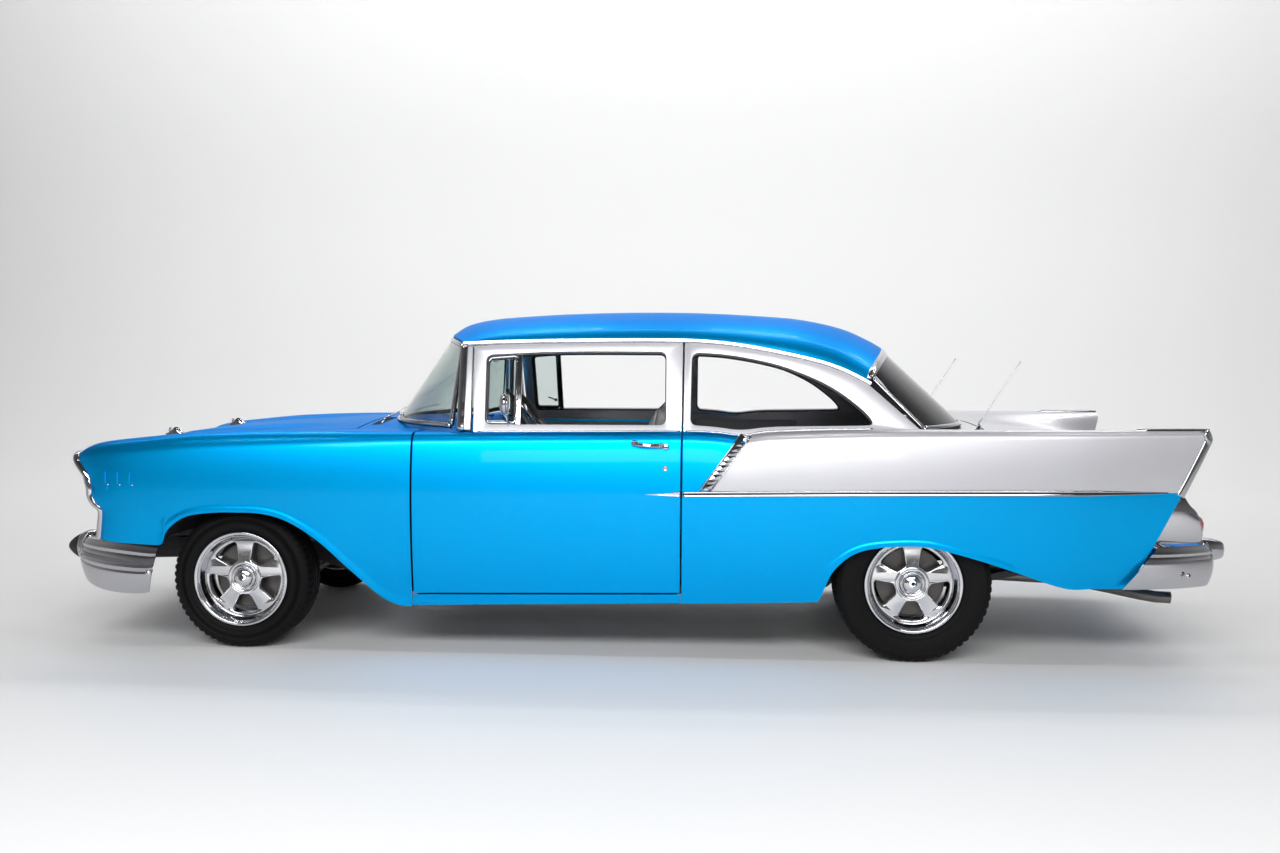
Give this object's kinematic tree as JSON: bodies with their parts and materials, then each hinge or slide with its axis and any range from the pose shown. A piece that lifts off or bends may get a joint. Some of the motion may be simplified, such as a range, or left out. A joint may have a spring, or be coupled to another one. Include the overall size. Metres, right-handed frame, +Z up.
{
  "type": "two-door sedan car with tail fins",
  "caption": "Full-size two-door sedan with tail fins, opening doors, hood and trunk lid, steered front wheels and a full cabin.",
  "frame": {"origin": "middle of the car's length and width, on the ground that its tyres stand on", "axes": "+X runs from the front of the car to its rear, +Y to its right-hand side, and +Z up"},
  "size_m": [5.12, 1.87, 1.5035],
  "materials": {
    "blue_paint": "metallic azure blue lacquer, high gloss",
    "silver_paint": "metallic silver-white lacquer, high gloss",
    "chrome": "bright chrome plate",
    "polished_rim": "polished cast aluminium",
    "tyre": "black rubber",
    "black_rubber": "moulded black rubber",
    "clear_glass": "lightly tinted safety glass",
    "dark_glass": "dark tinted glass",
    "red_lens": "moulded red lens",
    "frame_steel": "black chassis paint",
    "floor_steel": "dark undercoating",
    "engine_iron": "rough casting",
    "exhaust_steel": "bright exhaust pipe",
    "grey_vinyl": "grey vinyl and cloth upholstery",
    "grey_trim": "grey painted dash and trim",
    "black_plastic": "moulded black rim"
  },
  "bodies": {
    "car_body": {"chassis_frame": "frame_steel", "floor_pan": "floor_steel", "wheelhouses": "floor_steel", "engine": "engine_iron", "exhaust": "exhaust_steel", "fuel_tank": "frame_steel", "front_suspension": "frame_steel", "rear_axle": "frame_steel", "fender_left": "blue_paint", "fender_right": "blue_paint", "cowl": "blue_paint", "grille": "chrome", "headlamps": "chrome", "front_bumper": "chrome", "windshield": "clear_glass", "windshield_frame": "silver_paint", "roof": "blue_paint", "rear_window": "dark_glass", "quarter_left": "blue_paint", "quarter_right": "blue_paint", "rear_deck": "silver_paint", "tail_panel": "blue_paint", "tail_lamps": "chrome", "rear_bumper": "chrome", "dashboard": "grey_trim", "front_seat": "grey_vinyl", "rear_seat": "grey_vinyl"},
    "steering_left": {"knuckle_left": "engine_iron"},
    "steering_right": {"knuckle_right": "engine_iron"},
    "track_rod": {"track_rod": "frame_steel"},
    "steering_wheel": {"steering_wheel": "black_plastic"},
    "wheel_front_left": {"tyre_front_left": "tyre", "rim_front_left": "polished_rim"},
    "wheel_front_right": {"tyre_front_right": "tyre", "rim_front_right": "polished_rim"},
    "wheel_rear_left": {"tyre_rear_left": "tyre", "rim_rear_left": "polished_rim"},
    "wheel_rear_right": {"tyre_rear_right": "tyre", "rim_rear_right": "polished_rim"},
    "door_left": {"door_left": "blue_paint", "vent_window_left": "clear_glass"},
    "door_right": {"door_right": "blue_paint", "vent_window_right": "clear_glass"},
    "hood": {"hood": "blue_paint"},
    "trunk_lid": {"trunk_lid": "silver_paint"}
  },
  "joints": [
    {"name": "steer_left", "type": "hinge", "parent": "car_body", "child": "steering_left", "pos_m": [-1.69, -0.655, 0.308], "axis": [0, 0, 1], "range_deg": [-33, 33]},
    {"name": "steer_right", "type": "hinge", "parent": "car_body", "child": "steering_right", "pos_m": [-1.69, 0.655, 0.308], "axis": [0, 0, 1], "range_deg": [-33, 33]},
    {"name": "track_rod_slide", "type": "slide", "parent": "car_body", "child": "track_rod", "axis": [0, 1, 0], "range_m": [-0.06, 0.06]},
    {"name": "steering_wheel_turn", "type": "hinge", "parent": "car_body", "child": "steering_wheel", "pos_m": [-0.44, -0.38, 0.965], "axis": [0.809, 0, 0.5878], "range_deg": [-540, 540]},
    {"name": "spin_front_left", "type": "hinge", "parent": "steering_left", "child": "wheel_front_left", "pos_m": [-1.69, -0.737, 0.308], "axis": [0, 1, 0], "continuous": true},
    {"name": "spin_front_right", "type": "hinge", "parent": "steering_right", "child": "wheel_front_right", "pos_m": [-1.69, 0.737, 0.308], "axis": [0, 1, 0], "continuous": true},
    {"name": "spin_rear_left", "type": "hinge", "parent": "car_body", "child": "wheel_rear_left", "pos_m": [1.231, -0.742, 0.334], "axis": [0, 1, 0], "continuous": true},
    {"name": "spin_rear_right", "type": "hinge", "parent": "car_body", "child": "wheel_rear_right", "pos_m": [1.231, 0.742, 0.334], "axis": [0, 1, 0], "continuous": true},
    {"name": "door_left_swing", "type": "hinge", "parent": "car_body", "child": "door_left", "pos_m": [-0.858, -0.913, 0.6], "axis": [0, 0, -1], "range_deg": [0, 65]},
    {"name": "door_right_swing", "type": "hinge", "parent": "car_body", "child": "door_right", "pos_m": [-0.858, 0.913, 0.6], "axis": [0, 0, 1], "range_deg": [0, 65]},
    {"name": "hood_lift", "type": "hinge", "parent": "car_body", "child": "hood", "pos_m": [-1.11, 0, 0.946], "axis": [0, 1, 0], "range_deg": [0, 50]},
    {"name": "trunk_lift", "type": "hinge", "parent": "car_body", "child": "trunk_lid", "pos_m": [1.494, 0, 0.94], "axis": [0, -1, 0], "range_deg": [0, 62]}
  ],
  "couplings": [
    {"joint": "steer_right", "follows": "steer_left", "ratio": 1},
    {"joint": "track_rod_slide", "follows": "steer_left", "m_per_rad": 0.084},
    {"joint": "steering_wheel_turn", "follows": "steer_left", "ratio": 16}
  ]
}
